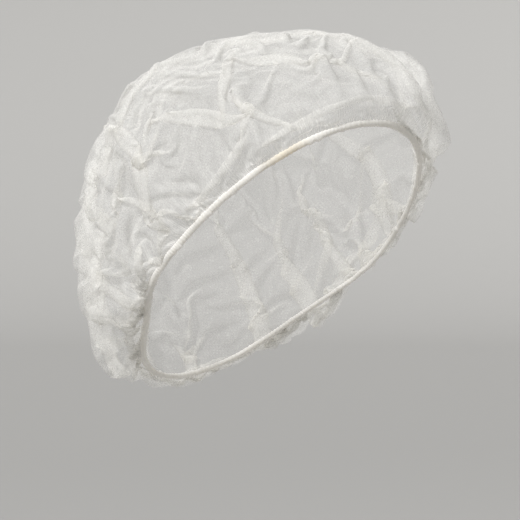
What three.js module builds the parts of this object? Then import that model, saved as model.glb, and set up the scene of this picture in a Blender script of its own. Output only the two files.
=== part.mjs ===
// A disposable bouffant hair cover, in the form that it takes when it is worn.
// A round cut of thin nonwoven is gathered onto an elastic loop. The loop runs high across the
// forehead, down past the ears and under the back of the skull. The sheet puffs out from it,
// lies over the top of the head and hangs behind it as a loose pouch.
// Millimetres. +Z is up, the wearer faces -Y, and the origin is the middle of the head opening.
import * as THREE from "three";
import { mergeVertices } from "three/addons/utils/BufferGeometryUtils.js";

// The head opening, an oval loop in a plane that slopes down from the forehead to the nape.
const openingLength = 218;
const openingWidth = 152;
const openingTilt = 41; // degrees of that plane from level
const napePinch = 0.12; // share by which the loop draws in where the skull narrows to the neck
const earDip = 3; // how far the loop sags below its plane beside the ears

// How far the puff stands out past the opening each way, and its height square to the opening.
const frontOverhang = 13;
const rightOverhang = 16;
const leftOverhang = 28;
const backOverhang = 17;
const puffHeight = 120;

// The sheet and its hem.
const sheetWall = 1.0;
const elasticWidth = 1.2;
const elasticThickness = 1.0;
const casingWall = 1.0;
const casingOverlap = 1.3; // how far the folded hem reaches up both faces of the sheet
const clearance = 0.3;

// Sections of the puff, one row each 30 degrees round the loop. 0 is the forehead, 90 the
// wearer's right ear and 180 the nape. Each place is [out, rise]: out is a share of the puff's
// reach in that direction, and rise a share of its height.
const sections = [
  { at: 0, lip: [0.97, 0.04], belly: [0.99, 0.15], shoulder: [0.9, 0.45], top: [0.64, 0.75] },
  { at: 30, lip: [0.96, 0.05], belly: [0.98, 0.16], shoulder: [0.93, 0.46], top: [0.68, 0.77] },
  { at: 60, lip: [0.94, 0.05], belly: [0.98, 0.18], shoulder: [0.96, 0.5], top: [0.71, 0.82] },
  { at: 90, lip: [0.92, 0.04], belly: [0.97, 0.2], shoulder: [0.94, 0.51], top: [0.67, 0.82] },
  { at: 120, lip: [0.9, 0.01], belly: [0.97, 0.19], shoulder: [0.89, 0.48], top: [0.61, 0.82] },
  { at: 150, lip: [0.93, 0.01], belly: [0.97, 0.18], shoulder: [0.9, 0.48], top: [0.58, 0.82] },
  { at: 180, lip: [0.94, 0], belly: [1, 0.18], shoulder: [0.9, 0.52], top: [0.58, 0.83] },
  { at: 210, lip: [0.93, 0.01], belly: [0.98, 0.18], shoulder: [0.87, 0.53], top: [0.6, 0.83] },
  { at: 240, lip: [0.9, 0.03], belly: [0.93, 0.2], shoulder: [0.88, 0.53], top: [0.63, 0.84] },
  { at: 270, lip: [0.89, 0.06], belly: [0.94, 0.2], shoulder: [0.95, 0.52], top: [0.7, 0.84] },
  { at: 300, lip: [0.92, 0.06], belly: [0.98, 0.19], shoulder: [1, 0.48], top: [0.75, 0.81] },
  { at: 330, lip: [0.98, 0.05], belly: [1.02, 0.17], shoulder: [1.01, 0.43], top: [0.71, 0.78] },
];

// The gathers along the hem, and the longer radial folds that grow out of them. Each wave's crests
// wander round the sheet by small waves of their own, and fade in and out by shares of the way
// from the hem to the middle.
const gathers = {
  count: 36,
  height: 1.9,
  wander: [
    { waves: 5, size: 0.5, phase: 1 },
    { waves: 11, size: 0.6, phase: 0 },
  ],
  twist: 0,
  fade: { from: 0, full: 0.05, fall: 0.1, gone: 0.34 },
};
const radialFolds = {
  count: 13,
  height: 2.4,
  wander: [{ waves: 3, size: 0.5, phase: 0.6 }],
  twist: 1.5,
  fade: { from: 0.05, full: 0.26, fall: 0.5, gone: 0.9 },
};

// The main folds, each a ridge from one place on the puff to another. Angles are in degrees as
// above, and a rise is a share of the way from the hem to the middle. A width is a share of the
// opening's width and a height a share of foldHeight. A height below 0 is a dent.
const foldHeight = 6;
const foldsFadeInBy = 0.1; // share of the way from the hem, where they reach their full height
const foldsFadeOutFrom = 0.8; // and where all of them begin to die out towards the middle
const folds = [
  { from: 40, fromRise: 0.1, to: 46, toRise: 0.5, width: 0.03, height: 0.6 },
  { from: 60, fromRise: 0.1, to: 64, toRise: 0.46, width: 0.03, height: 0.7 },
  { from: 76, fromRise: 0.1, to: 72, toRise: 0.34, width: 0.03, height: 0.7 },
  { from: 92, fromRise: 0.1, to: 82, toRise: 0.5, width: 0.035, height: 0.9 },
  { from: 106, fromRise: 0.12, to: 108, toRise: 0.48, width: 0.035, height: 0.8 },
  { from: 120, fromRise: 0.46, to: 92, toRise: 0.56, width: 0.035, height: 0.8 },
  { from: 96, fromRise: 0.66, to: 40, toRise: 0.6, width: 0.035, height: 0.6 },
  { from: 124, fromRise: 0.1, to: 122, toRise: 0.44, width: 0.04, height: -0.9 },
  { from: 112, fromRise: 0.26, to: 150, toRise: 0.22, width: 0.05, height: 0.9 },
  { from: 114, fromRise: 0.4, to: 150, toRise: 0.36, width: 0.04, height: -0.8 },
  { from: 140, fromRise: 0.12, to: 140, toRise: 0.6, width: 0.04, height: 0.9 },
  { from: 158, fromRise: 0.14, to: 154, toRise: 0.6, width: 0.04, height: -0.7 },
  { from: 172, fromRise: 0.12, to: 172, toRise: 0.62, width: 0.04, height: 0.9 },
  { from: 190, fromRise: 0.12, to: 194, toRise: 0.6, width: 0.04, height: -0.7 },
  { from: 206, fromRise: 0.14, to: 214, toRise: 0.62, width: 0.04, height: 0.9 },
  { from: 226, fromRise: 0.12, to: 222, toRise: 0.6, width: 0.04, height: -0.7 },
  { from: 246, fromRise: 0.1, to: 246, toRise: 0.56, width: 0.04, height: 0.8 },
  { from: 276, fromRise: 0.12, to: 278, toRise: 0.6, width: 0.04, height: 0.8 },
  { from: 292, fromRise: 0.3, to: 322, toRise: 0.34, width: 0.04, height: -0.8 },
  { from: 296, fromRise: 0.12, to: 322, toRise: 0.2, width: 0.05, height: 0.8 },
  { from: 314, fromRise: 0.36, to: 318, toRise: 0.62, width: 0.04, height: 0.9 },
  { from: 338, fromRise: 0.12, to: 334, toRise: 0.54, width: 0.03, height: -0.6 },
  { from: 352, fromRise: 0.1, to: 350, toRise: 0.5, width: 0.03, height: 0.6 },
  { from: 20, fromRise: 0.12, to: 28, toRise: 0.6, width: 0.035, height: 0.6 },
];

// How finely the sheet is faceted: its rows of vertices, by shares of the way from the hem to the
// middle, and the columns round it, which are doubled twice on the way down to the hem.
const rowsNearHem = [0.016, 0.036, 0.06, 0.09, 0.125, 0.165, 0.21, 0.26];
const rowsOnPuff = [0.315, 0.375, 0.44, 0.505, 0.575, 0.645, 0.715];
const rowsNearMiddle = [0.785, 0.86, 0.93];
const middleColumns = 36;
const puffColumns = 2 * middleColumns;
const hemColumns = 2 * puffColumns;
const casingColumns = 96;
const elasticColumns = 72;

const radians = THREE.MathUtils.degToRad;
const smooth = THREE.MathUtils.smoothstep;
const turn = 2 * Math.PI;
const angleStep = radians(0.6); // for slopes that are taken by differences
const riseStep = 0.004;

// The opening's own axes: to the wearer's right, forward and up its slope, and square to it.
const tilt = radians(openingTilt);
const toRight = new THREE.Vector3(-1, 0, 0);
const toFront = new THREE.Vector3(0, -Math.cos(tilt), Math.sin(tilt));
const toCrown = new THREE.Vector3(0, Math.sin(tilt), Math.cos(tilt));

// The point at an angle round the opening, so far from its middle and so far above its plane.
function pointAt(angle, radius, rise) {
  return new THREE.Vector3()
    .addScaledVector(toRight, radius * Math.sin(angle))
    .addScaledVector(toFront, radius * Math.cos(angle))
    .addScaledVector(toCrown, rise);
}

// The radius at an angle of an oval with its own reach to the front, right, back and left.
function ovalRadius(angle, front, right, back, left) {
  const ahead = Math.cos(angle) > 0 ? front : back;
  const aside = Math.sin(angle) > 0 ? right : left;
  return 1 / Math.hypot(Math.cos(angle) / ahead, Math.sin(angle) / aside);
}

// A point on the middle line of the elastic.
function elasticPoint(angle) {
  const half = openingLength / 2;
  const side = openingWidth / 2;
  const pinch = Math.cos(angle) < 0 ? napePinch * Math.sin(2 * angle) ** 2 : 0;
  const radius = ovalRadius(angle, half, side, half, side) * (1 - pinch);
  return pointAt(angle, radius, -earDip * Math.sin(angle) ** 2);
}

// A named place of the section table at any angle, on a smooth closed curve through its rows.
function sectionShares(name, angle) {
  const degrees = THREE.MathUtils.euclideanModulo(THREE.MathUtils.radToDeg(angle), 360);
  const row = sections.findLastIndex((section) => section.at <= degrees);
  const near = [-1, 0, 1, 2].map((step) => sections[(row + step + sections.length) % sections.length]);
  const gap = (near[2].at - near[1].at + 360) % 360;
  const t = (degrees - near[1].at) / gap;
  const [a, b, c, d] = near.map((section) => new THREE.Vector2(...section[name]));
  const path = new THREE.CubicBezierCurve(
    b,
    c.clone().sub(a).divideScalar(6).add(b),
    b.clone().sub(d).divideScalar(6).add(c),
    c,
  );
  return path.getPoint(t);
}

// A named place on the puff's section at an angle.
function sectionPoint(name, angle) {
  const half = openingLength / 2;
  const side = openingWidth / 2;
  const reach = ovalRadius(
    angle,
    half + frontOverhang,
    side + rightOverhang,
    half + backOverhang,
    side + leftOverhang,
  );
  const shares = sectionShares(name, angle);
  return pointAt(angle, reach * shares.x, puffHeight * shares.y);
}

// The directions of the hem's section at an angle: up into the sheet, and out through its wall.
function hemFrame(angle) {
  const place = elasticPoint(angle);
  const along = elasticPoint(angle + angleStep).sub(elasticPoint(angle - angleStep)).normalize();
  const toLip = sectionPoint("lip", angle).sub(place);
  const out = along.clone().cross(toLip).normalize();
  return { place, up: out.clone().cross(along).normalize(), out };
}

// How far above the elastic's middle line the sheet's edge lies, and where the hem lets it go.
const sheetEdge = elasticWidth / 2 + clearance;
const hemRim = sheetEdge + casingOverlap;
const sheetFree = hemRim + clearance;

// The smooth meridian of the puff at an angle, from where the hem lets go of it to the middle.
function meridian(angle) {
  const { place, up } = hemFrame(angle);
  const knots = ["lip", "belly", "shoulder", "top"].map((name) => sectionPoint(name, angle));
  const start = place.addScaledVector(up, sheetFree);
  return new THREE.CatmullRomCurve3([start, ...knots, pointAt(0, 0, puffHeight)], false, "centripetal");
}

// How far a wave of gathers or radial folds lifts the sheet.
function waveLift({ count, height, wander, twist, fade }, angle, rise) {
  let phase = count * angle + twist * rise * Math.sin(2 * angle);
  for (const small of wander) phase += small.size * Math.sin(small.waves * angle + small.phase);
  const strength = smooth(rise, fade.from, fade.full) * (1 - smooth(rise, fade.fall, fade.gone));
  return height * strength * Math.cos(phase);
}

// How far the main folds of the table lift it, by how far it lies from each fold's line.
function foldLift(angle, rise, radius) {
  const sheetLength = (puffHeight * Math.PI) / 2;
  const wrapped = (x) => Math.atan2(Math.sin(x), Math.cos(x));
  let lift = 0;
  for (const fold of folds) {
    const start = radians(fold.from);
    const across = wrapped(radians(fold.to) - start) * radius;
    const end = new THREE.Vector3(across, (fold.toRise - fold.fromRise) * sheetLength, 0);
    const here = new THREE.Vector3(wrapped(angle - start) * radius, (rise - fold.fromRise) * sheetLength, 0);
    const line = new THREE.Line3(new THREE.Vector3(), end);
    const nearest = line.closestPointToPoint(here, true, new THREE.Vector3());
    const away = nearest.distanceTo(here) / (fold.width * openingWidth);
    lift += fold.height * foldHeight * Math.exp(-away * away);
  }
  return lift * smooth(rise, 0, foldsFadeInBy);
}

// The sheet's mid surface at an angle and a share of the way up its meridian.
function sheetPoint(angle, rise) {
  const curve = meridian(angle);
  const share = THREE.MathUtils.clamp(rise, 0, 1 - riseStep);
  const place = curve.getPoint(share);
  const radius = Math.hypot(place.dot(toRight), place.dot(toFront));
  const lift =
    waveLift(gathers, angle, share) + waveLift(radialFolds, angle, share) + foldLift(angle, share, radius);
  const round = pointAt(angle + Math.PI / 2, 1, 0);
  const outwards = round.cross(curve.getTangent(share)).normalize();
  return place.addScaledVector(outwards, lift * (1 - smooth(share, foldsFadeOutFrom, 1)));
}

// The sheet's outward normal there.
function sheetNormal(angle, rise) {
  const round = sheetPoint(angle + angleStep, rise).sub(sheetPoint(angle - angleStep, rise));
  const up = sheetPoint(angle, rise + riseStep).sub(sheetPoint(angle, rise - riseStep));
  return round.cross(up).normalize();
}

// A ring of vertices on each face of the sheet, from the middle point and the normal at an angle.
function sheetRing(columns, middleAndNormal) {
  const ring = { outer: [], inner: [] };
  for (let column = 0; column < columns; column++) {
    const { middle, normal } = middleAndNormal((turn * column) / columns);
    ring.outer.push(middle.clone().addScaledVector(normal, sheetWall / 2));
    ring.inner.push(middle.clone().addScaledVector(normal, -sheetWall / 2));
  }
  return ring;
}

// The ring at a share of the way from the hem to the middle.
function freeRing(rise, columns) {
  return sheetRing(columns, (angle) => ({
    middle: sheetPoint(angle, rise),
    normal: sheetNormal(angle, rise),
  }));
}

// The ring at a height above the elastic, where the hem holds the sheet flat.
function heldRing(height) {
  return sheetRing(hemColumns, (angle) => {
    const { place, up, out } = hemFrame(angle);
    return { middle: place.addScaledVector(up, height), normal: out };
  });
}

// The triangles between two rings, where the upper one has as many vertices or half as many.
function stitch(lower, upper) {
  const faces = [];
  const ratio = lower.length / upper.length;
  for (let i = 0; i < upper.length; i++) {
    const here = upper[i];
    const next = upper[(i + 1) % upper.length];
    const below = (step) => lower[(i * ratio + step) % lower.length];
    faces.push([below(0), below(1), here], [below(1), next, here]);
    if (ratio === 2) faces.push([below(1), below(2), next]);
  }
  return faces;
}

// A geometry from triangles that are given as three points each.
function geometryOf(faces) {
  const positions = new Float32Array(faces.flat().flatMap((point) => point.toArray()));
  const loose = new THREE.BufferGeometry();
  loose.setAttribute("position", new THREE.BufferAttribute(positions, 3));
  const merged = mergeVertices(loose, 1e-3);
  merged.computeVertexNormals();
  return merged;
}

const reversed = (faces) => faces.map(([a, b, c]) => [a, c, b]);

// The gathered sheet, with its edge in the hem open all round.
function crownSheet() {
  const rings = [
    heldRing(sheetEdge),
    heldRing(sheetFree),
    ...rowsNearHem.map((rise) => freeRing(rise, hemColumns)),
    ...rowsOnPuff.map((rise) => freeRing(rise, puffColumns)),
    ...rowsNearMiddle.map((rise) => freeRing(rise, middleColumns)),
  ];
  const faces = stitch(rings[0].inner, rings[0].outer);
  for (let i = 0; i + 1 < rings.length; i++) {
    faces.push(...stitch(rings[i].outer, rings[i + 1].outer));
    faces.push(...reversed(stitch(rings[i].inner, rings[i + 1].inner)));
  }
  const last = rings[rings.length - 1];
  const fan = (ring, middle) => ring.map((point, i) => [point, ring[(i + 1) % ring.length], middle]);
  faces.push(...fan(last.outer, pointAt(0, 0, puffHeight + sheetWall / 2)));
  faces.push(...reversed(fan(last.inner, pointAt(0, 0, puffHeight - sheetWall / 2))));
  return geometryOf(faces);
}

// A closed loop along the hem with the given section, whose points are [up, out] pairs.
function hemLoop(section, columns) {
  const rings = [];
  for (let column = 0; column < columns; column++) {
    const { place, up, out } = hemFrame((turn * column) / columns);
    const corner = ([high, far]) => place.clone().addScaledVector(up, high).addScaledVector(out, far);
    rings.push(section.map(corner));
  }
  return geometryOf(rings.flatMap((ring, column) => stitch(ring, rings[(column + 1) % columns])));
}

// The folded hem: a channel round the elastic, whose two flaps hold the sheet's edge between them.
function hemCasing() {
  const innerHalf = Math.max(elasticThickness, sheetWall) / 2 + clearance;
  const outerHalf = innerHalf + casingWall;
  const floor = -elasticWidth / 2 - clearance;
  const sole = floor - casingWall;
  return hemLoop(
    [
      [hemRim, innerHalf],
      [hemRim, outerHalf],
      [floor, outerHalf],
      [sole, innerHalf],
      [sole, -innerHalf],
      [floor, -outerHalf],
      [hemRim, -outerHalf],
      [hemRim, -innerHalf],
      [floor, -innerHalf],
      [floor, innerHalf],
    ],
    casingColumns,
  );
}

// The elastic, a flat cord with its edges broken.
function elasticBand() {
  const wide = elasticWidth / 2;
  const thick = elasticThickness / 2;
  return hemLoop(
    [
      [wide, 0],
      [wide / 2, thick],
      [-wide / 2, thick],
      [-wide, 0],
      [-wide / 2, -thick],
      [wide / 2, -thick],
    ],
    elasticColumns,
  );
}

// A mesh in its own colour and finish.
function piece(name, geometry, color, roughness) {
  const mesh = new THREE.Mesh(geometry, new THREE.MeshStandardMaterial({ color, roughness, metalness: 0 }));
  mesh.name = name;
  return mesh;
}

const cap = new THREE.Group();
cap.add(piece("crown_sheet", crownSheet(), 0xe9e7e3, 0.85));
cap.add(piece("hem_casing", hemCasing(), 0xefece6, 0.8));
cap.add(piece("elastic_band", elasticBand(), 0xe8dcc0, 0.6));

export default cap;
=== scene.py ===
"""A disposable bouffant hair cover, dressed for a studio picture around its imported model.

The cap is one round cut of sheer spun-bonded nonwoven, gathered onto an elastic cord inside a
narrow folded hem. It stands in its worn form: a loop that slopes from the forehead to the nape, a
puff over the crown and a loose pouch behind. Metres, +Z up, the wearer faces -Y.
"""
import logging
import math
from dataclasses import dataclass, field
from enum import Enum

import bpy
import numpy as np
from bpy.types import Material, Mesh, NodeSocket, NodeTree, Object
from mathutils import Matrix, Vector
from mathutils.bvhtree import BVHTree


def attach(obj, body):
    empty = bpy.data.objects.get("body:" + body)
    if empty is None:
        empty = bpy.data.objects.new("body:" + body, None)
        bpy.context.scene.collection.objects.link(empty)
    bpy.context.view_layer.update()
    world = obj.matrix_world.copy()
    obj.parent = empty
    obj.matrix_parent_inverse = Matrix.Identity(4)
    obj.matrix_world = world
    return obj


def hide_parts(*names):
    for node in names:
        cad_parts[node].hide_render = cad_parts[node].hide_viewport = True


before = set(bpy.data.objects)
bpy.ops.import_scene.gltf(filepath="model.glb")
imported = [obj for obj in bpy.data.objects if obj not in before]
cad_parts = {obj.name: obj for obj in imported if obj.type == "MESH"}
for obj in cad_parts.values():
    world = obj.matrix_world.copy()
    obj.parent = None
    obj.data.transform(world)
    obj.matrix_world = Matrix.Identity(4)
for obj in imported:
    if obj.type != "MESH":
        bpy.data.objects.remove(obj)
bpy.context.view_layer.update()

log = logging.getLogger("hair_cover")
Array = np.ndarray
TURN = 2.0 * math.pi
MM = 0.001


class Hang(Enum):
    """How a fold of the sheet hangs; the value is how far it stands out, in millimetres."""

    FLAT = 0.9
    FREE = 1.6


def smooth_step(value: Array, low: float, high: float) -> Array:
    """Rises smoothly from 0 at low to 1 at high.

    Args:
        value: The numbers to map.
        low: Where the step starts.
        high: Where the step ends.

    Returns:
        The step's height for each number, from 0 to 1.
    """
    share = np.clip((value - low) / (high - low), 0.0, 1.0)
    return share * share * (3.0 - 2.0 * share)


def unit(vectors: Array) -> Array:
    """The vectors, each scaled to a length of 1."""
    return vectors / (np.linalg.norm(vectors, axis=-1, keepdims=True) + 1e-12)


def smoothed(grid: Array) -> Array:
    """Takes each value of a grid halfway to its neighbours', up its columns and round its rows.

    Args:
        grid: The values, by column and row.

    Returns:
        The smoother values.
    """
    inner = grid.copy()
    inner[:, 1:-1] = 0.5 * grid[:, 1:-1] + 0.25 * (grid[:, :-2] + grid[:, 2:])
    return 0.5 * inner + 0.25 * (np.roll(inner, 1, 0) + np.roll(inner, -1, 0))


@dataclass
class Opening:
    """The plane of the cap's opening. Its tilt is the slope from the forehead down to the nape.

    Angle 0 is the forehead, 90 degrees the wearer's right ear, 180 the nape, 270 the left ear.
    """

    tilt_degrees: float = 41.0

    def __post_init__(self) -> None:
        """Works out the three directions."""
        tilt = math.radians(self.tilt_degrees)
        self.to_right = np.array([-1.0, 0.0, 0.0])
        self.to_front = np.array([0.0, -math.cos(tilt), math.sin(tilt)])
        self.to_crown = np.array([0.0, math.sin(tilt), math.cos(tilt)])

    def round_direction(self, angle: Array) -> Array:
        """The unit direction at an angle in the opening's plane."""
        angle = np.asarray(angle)[..., None]
        return np.sin(angle) * self.to_right + np.cos(angle) * self.to_front

    def angle_of(self, points: Array) -> Array:
        """The angle round the opening at which each point lies."""
        return np.arctan2(points @ self.to_right, points @ self.to_front)


def add_piece(name: str, places: Array, faces: list) -> Object:
    """Makes a smooth piece and puts it in the scene.

    Args:
        name: Its name.
        places: Its points.
        faces: The numbers of the points round each face.

    Returns:
        The new object.
    """
    mesh = bpy.data.meshes.new(name)
    mesh.from_pydata(places.tolist(), [], faces)
    mesh.update()
    mesh.polygons.foreach_set("use_smooth", [True] * len(mesh.polygons))
    piece = bpy.data.objects.new(name, mesh)
    bpy.context.scene.collection.objects.link(piece)
    return piece


class HemLine:
    """The middle line of the elastic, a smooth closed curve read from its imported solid."""

    def __init__(self, opening: Opening, sections: int = 72, waves: int = 12) -> None:
        """Reads the line.

        Args:
            opening: The plane of the opening.
            sections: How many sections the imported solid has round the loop.
            waves: How many waves of its shape are kept, which smooths its corners.
        """
        self.opening = opening
        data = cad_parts["elastic_band"].data
        points = np.array([vertex.co[:] for vertex in data.vertices])
        place = np.rint(opening.angle_of(points) / TURN * sections).astype(int) % sections
        rise = points @ opening.to_crown
        out = np.linalg.norm(points - rise[:, None] * opening.to_crown, axis=1)
        self.out = self._wave_shares(out, place, sections, waves)
        self.rise = self._wave_shares(rise, place, sections, waves)

    @staticmethod
    def _wave_shares(values: Array, place: Array, sections: int, waves: int) -> Array:
        """The first waves of a value round the loop, from the middle of each section."""
        middles = [0.5 * (values[place == i].min() + values[place == i].max()) for i in range(sections)]
        return np.fft.rfft(middles)[: waves + 1] / sections

    def _value(self, shares: Array, angle: Array) -> Array:
        """The value that some waves add up to.

        Args:
            shares: The waves.
            angle: The angles, in radians.

        Returns:
            The value at each.
        """
        total = np.full(np.shape(angle), shares[0].real)
        for wave, share in enumerate(shares[1:], start=1):
            total = total + 2 * (share * np.exp(1j * wave * np.asarray(angle))).real
        return total

    def centre(self, angle: Array) -> Array:
        """The points of the line at some angles.

        Args:
            angle: The angles, in radians.

        Returns:
            A point for each.
        """
        out = self._value(self.out, angle)[..., None]
        rise = self._value(self.rise, angle)[..., None]
        return self.opening.round_direction(angle) * out + self.opening.to_crown * rise


class WornForm:
    """The smooth form of the worn puff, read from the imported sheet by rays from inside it."""

    SHEET_EDGE = 0.8 * MM  # how far above the elastic's middle line the sheet starts
    HALF_WALL = 0.5 * MM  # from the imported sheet's inner face to its middle

    def __init__(self, opening: Opening, hem: HemLine, columns: int = 180, rows: int = 70) -> None:
        """Reads the form.

        Args:
            opening: The plane of the opening.
            hem: The middle line of the elastic, from which the sheet comes.
            columns: How many meridians are read.
            rows: How many places are read on each.
        """
        self.opening = opening
        self.hem = hem
        self.columns = columns
        self.rows = rows
        self.centre = opening.to_crown * 30.0 * MM
        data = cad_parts["crown_sheet"].data
        points = [vertex.co.copy() for vertex in data.vertices]
        faces = [tuple(polygon.vertices) for polygon in data.polygons]
        tree = BVHTree.FromPolygons(points, faces)
        self.elevations = np.radians(np.linspace(-40.0, 90.0, 131))
        self.reach = np.full((columns, len(self.elevations)), np.nan)
        for column in range(columns):
            self._read_column(tree, column)
        self.table = self._meridians()
        edge = hem.centre(TURN * np.arange(columns) / columns) - self.centre
        rise = np.arcsin(unit(edge) @ opening.to_crown)
        self.hem_rise = np.repeat(rise[:, None, None], 2, axis=1)

    def _read_column(self, tree: BVHTree, column: int) -> None:
        """Fills one column of the reach table, up from the lowest ray that meets the sheet.

        Args:
            tree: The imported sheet.
            column: Which meridian is read.
        """
        outward = self.opening.round_direction(TURN * column / self.columns)
        for row, rise in enumerate(self.elevations):
            ray = outward * math.cos(rise) + self.opening.to_crown * math.sin(rise)
            hit = tree.ray_cast(Vector(self.centre), Vector(ray))[0]
            if hit is None:
                self.reach[column, : row + 1] = np.nan
            else:
                self.reach[column, row] = np.linalg.norm(np.array(hit) - self.centre) + self.HALF_WALL

    def _meridians(self) -> Array:
        """Reads the meridians off the reach table.

        Returns:
            The points of each at even shares of its length, from the hem to the middle.
        """
        table = np.zeros((self.columns, self.rows, 3))
        shares = np.linspace(0.0, 1.0, self.rows)
        for column in range(self.columns):
            known = ~np.isnan(self.reach[column])
            outward = self.opening.round_direction(TURN * column / self.columns)
            rise = self.elevations[known][:, None]
            rays = outward * np.cos(rise) + self.opening.to_crown * np.sin(rise)
            points = self.centre + rays * self.reach[column, known][:, None]
            middle = self.hem.centre(np.array(TURN * column / self.columns))
            edge = middle + self.SHEET_EDGE * unit(points[0] - middle)
            points = np.concatenate([[edge], points])
            steps = np.linalg.norm(np.diff(points, axis=0), axis=1)
            along = np.r_[0.0, np.cumsum(steps)] / steps.sum()
            for axis in range(3):
                table[column, :, axis] = np.interp(shares, along, points[:, axis])
            low = np.argmax(known)
            self.reach[column, :low] = self.reach[column, low]
        return self._softened(table)

    @staticmethod
    def _softened(table: Array, rounds: int = 2) -> Array:
        """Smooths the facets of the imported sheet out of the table.

        Args:
            table: The points, by meridian and share.
            rounds: How often it is smoothed.

        Returns:
            The smooth table.
        """
        for _ in range(rounds):
            table = smoothed(table)
            table[:, -1] = table[:, -1].mean(axis=0)
        return table

    def _read(self, table: Array, angle: Array, height: Array) -> Array:
        """Reads a table between its places.

        Args:
            table: Rows of values, by meridian and height.
            angle: The angle of each place, in radians.
            height: Its height, in steps of the table.

        Returns:
            The values there.
        """
        place = angle / TURN % 1.0 * self.columns
        first = place.astype(int) % self.columns
        second = (first + 1) % self.columns
        across = (place - np.floor(place))[..., None]
        low = np.minimum(height.astype(int), table.shape[1] - 2)
        up = (height - low)[..., None]
        lower = table[first, low] * (1 - across) + table[second, low] * across
        upper = table[first, low + 1] * (1 - across) + table[second, low + 1] * across
        return lower * (1 - up) + upper * up

    def point(self, angle: Array, share: Array) -> Array:
        """The points of the form at some angles and shares of the way from hem to middle."""
        return self._read(self.table, angle, np.clip(share, 0.0, 1.0) * (self.rows - 1))

    def kept(self, points: Array, depth: Array, proud: Array) -> Array:
        """Brings points back to the room round the form, and above the hem.

        Args:
            points: Points anywhere round the centre of the form.
            depth: How far below the form each may lie.
            proud: How far outside it each may stand.

        Returns:
            The points where they may be.
        """
        away = points - self.centre
        distance = np.linalg.norm(away, axis=-1)
        angle = self.opening.angle_of(away)
        rise = np.arcsin(np.clip((away @ self.opening.to_crown) / distance, -1.0, 1.0))
        floor = self._read(self.hem_rise, angle, np.zeros_like(angle))[..., 0]
        sunk = rise < floor
        rise = np.maximum(rise, floor)
        span = self.elevations[-1] - self.elevations[0]
        last = len(self.elevations) - 1
        height = np.clip((rise - self.elevations[0]) / span * last, 0, last - 0.001)
        reach = self._read(self.reach[..., None], angle, height)[..., 0]
        direction = away / distance[..., None]
        direction[sunk] = (self.opening.round_direction(angle[sunk]) * np.cos(rise[sunk])[..., None]
                           + self.opening.to_crown * np.sin(rise[sunk])[..., None])
        return self.centre + direction * np.clip(distance, reach - depth, reach + proud)[..., None]


@dataclass(frozen=True)
class Fold:
    """A fold where the sheet doubles back over itself, along a line on the puff.

    Attributes:
        hang: Whether it lies flat or hangs free.
        start: The line's first end, as an angle in degrees and a share up from the hem.
        end: Its other end, in the same way.
        width: How wide the tripled band is, in millimetres.
        bow: How far the line bows sideways, as a share of its length.
    """

    BAND = 1.34  # the tripled band's width as a multiple of the fold's reach
    SLIDE = 3.0  # how steeply the sheet slides back over itself

    hang: Hang
    start: tuple[float, float]
    end: tuple[float, float]
    width: float
    bow: float = 0.0

    def line(self, form: WornForm, count: int = 25) -> tuple[Array, ...]:
        """The fold's line on the worn form.

        Args:
            form: The worn form.
            count: How many points the line gets.

        Returns:
            Its points, and at each the directions along it, across it and out of the sheet.
        """
        part = np.linspace(0.0, 1.0, count)
        first, last = math.radians(self.start[0]), math.radians(self.end[0])
        turn = (last - first + math.pi) % TURN - math.pi
        share = self.start[1] + (self.end[1] - self.start[1]) * part
        points = form.point(first + turn * part, share)
        out = unit(points - form.centre)
        across = unit(np.cross(out, unit(np.gradient(points, axis=0))))
        length = np.linalg.norm(points[-1] - points[0])
        points = points + across * (self.bow * length * np.sin(math.pi * part))[:, None]
        along = unit(np.gradient(points, axis=0))
        return points, along, unit(np.cross(out, along)), out

    def shift(self, places: Array, form: WornForm) -> Array:
        """How far the fold moves the sheet.

        Args:
            places: The sheet's places on the smooth form.
            form: That form.

        Returns:
            The move of each place, which doubles the sheet back over the fold's line.
        """
        points, along, across, out = self.line(form)
        reach = self.width * MM / self.BAND
        middle = points[len(points) // 2]
        span = 0.5 * np.linalg.norm(points[-1] - points[0]) * (1 + abs(self.bow)) + 5 * reach
        near = np.linalg.norm(places - middle, axis=-1) < span
        away = places[near][:, None] - points[None]
        nearest = np.argmin((away ** 2).sum(-1), axis=1)
        offset = away[np.arange(len(nearest)), nearest]
        aside = (offset * across[nearest]).sum(-1) / reach
        beyond = (offset * along[nearest]).sum(-1) / reach
        part = nearest / (len(points) - 1)
        strength = np.exp(-beyond ** 2) * smooth_step(np.minimum(part, 1 - part), -0.1, 0.2)
        slide = -self.SLIDE * reach * aside * np.exp(-aside ** 2) * strength
        lift = self.hang.value * MM * aside * np.exp(-0.5 * aside ** 2) * strength
        moves = np.zeros_like(places)
        moves[near] = across[nearest] * slide[:, None] + out[nearest] * lift[:, None]
        return moves


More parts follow.
